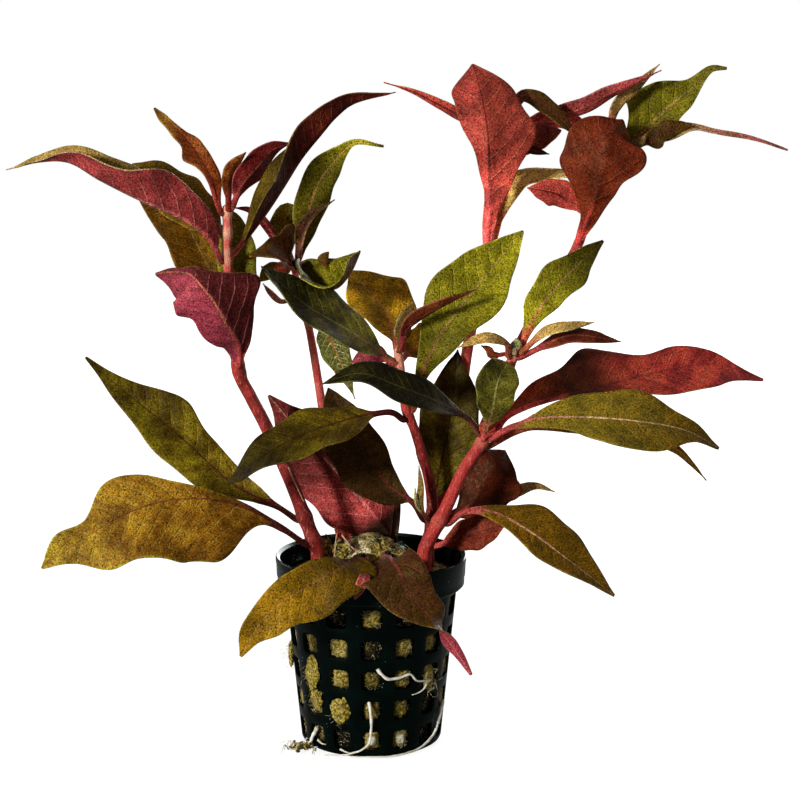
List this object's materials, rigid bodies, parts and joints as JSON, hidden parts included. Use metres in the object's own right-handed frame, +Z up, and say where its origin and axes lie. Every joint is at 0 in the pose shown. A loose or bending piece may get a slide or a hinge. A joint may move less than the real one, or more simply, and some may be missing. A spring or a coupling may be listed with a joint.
{
  "type": "potted aquarium plant",
  "caption": "Red and olive stem plant for aquariums with lance-shaped leaves, rising from a wool plug in a tapered black net pot.",
  "frame": {"origin": "middle of the pot's underside, on the surface that it stands on", "axes": "+Z up along the pot's axis, -Y towards the side that the picture shows, +X to that view's right"},
  "size_m": [0.1981, 0.0603, 0.1772],
  "materials": {
    "leaf_olive": "olive to brown-olive upper side, satin",
    "leaf_green": "dark green upper side, satin",
    "leaf_brown": "orange-brown young leaf, satin",
    "leaf_red": "dark red underside, satin",
    "leaf_magenta": "magenta underside, satin",
    "stem": "crimson to pink stem, satin",
    "pot": "near-black moulded plastic, glossy",
    "wool": "yellow-brown mineral wool, fibrous"
  },
  "bodies": {
    "root": {"net_pot": "pot", "wool_plug": "wool", "stem_left": "stem", "stem_left_back": "stem", "stem_middle": "stem", "stem_right": "stem", "stem_tall": "stem", "stem_tall_right": "stem", "left_leaf_long": "leaf_magenta", "left_leaf_upper_back": "leaf_olive", "left_leaf_lower_back": "leaf_olive", "left_leaf_behind": "leaf_olive", "left_leaf_young_left": "leaf_brown", "left_leaf_young_right": "leaf_red", "left_leaf_curved": "leaf_red", "left_leaf_front": "leaf_magenta", "left_leaf_low": "leaf_green", "left_leaf_lowest": "leaf_olive", "slim_leaf_tall": "leaf_green", "slim_leaf_left": "leaf_brown", "slim_leaf_back": "leaf_green", "slim_leaf_young": "leaf_brown", "slim_leaf_folded": "leaf_green", "slim_leaf_hanging": "leaf_green", "middle_leaf_left": "leaf_green", "middle_leaf_back": "leaf_brown", "middle_leaf_narrow": "leaf_red", "middle_leaf_right": "leaf_green", "middle_leaf_hidden": "leaf_olive", "middle_leaf_low": "leaf_green", "middle_leaf_lowest": "leaf_brown", "right_leaf_left": "leaf_green", "right_leaf_front": "leaf_green", "right_leaf_red": "leaf_red", "right_leaf_olive": "leaf_olive", "right_leaf_under": "leaf_red", "right_leaf_arched": "leaf_olive", "right_leaf_upright": "leaf_olive", "right_leaf_small_upper": "leaf_olive", "right_leaf_small_lower": "leaf_red", "right_leaf_base": "leaf_olive", "tall_leaf_front": "leaf_red", "tall_leaf_arched": "leaf_olive", "tall_leaf_thin": "leaf_red", "tall_leaf_dark": "leaf_olive", "tall_leaf_inner": "leaf_red", "tall_leaf_short": "leaf_red", "tall_leaf_long": "leaf_red", "tall_leaf_dark_low": "leaf_green", "tall_leaf_red_low": "leaf_magenta", "far_leaf_front": "leaf_red", "far_leaf_pink": "leaf_magenta", "far_leaf_narrow": "leaf_brown", "far_leaf_green": "leaf_green", "far_leaf_edge": "leaf_olive", "far_leaf_low": "leaf_olive", "crown_leaf_red": "leaf_magenta", "crown_leaf_red_right": "leaf_red", "crown_leaf_front_left": "leaf_olive", "crown_leaf_front_right": "leaf_brown"}
  },
  "joints": []
}
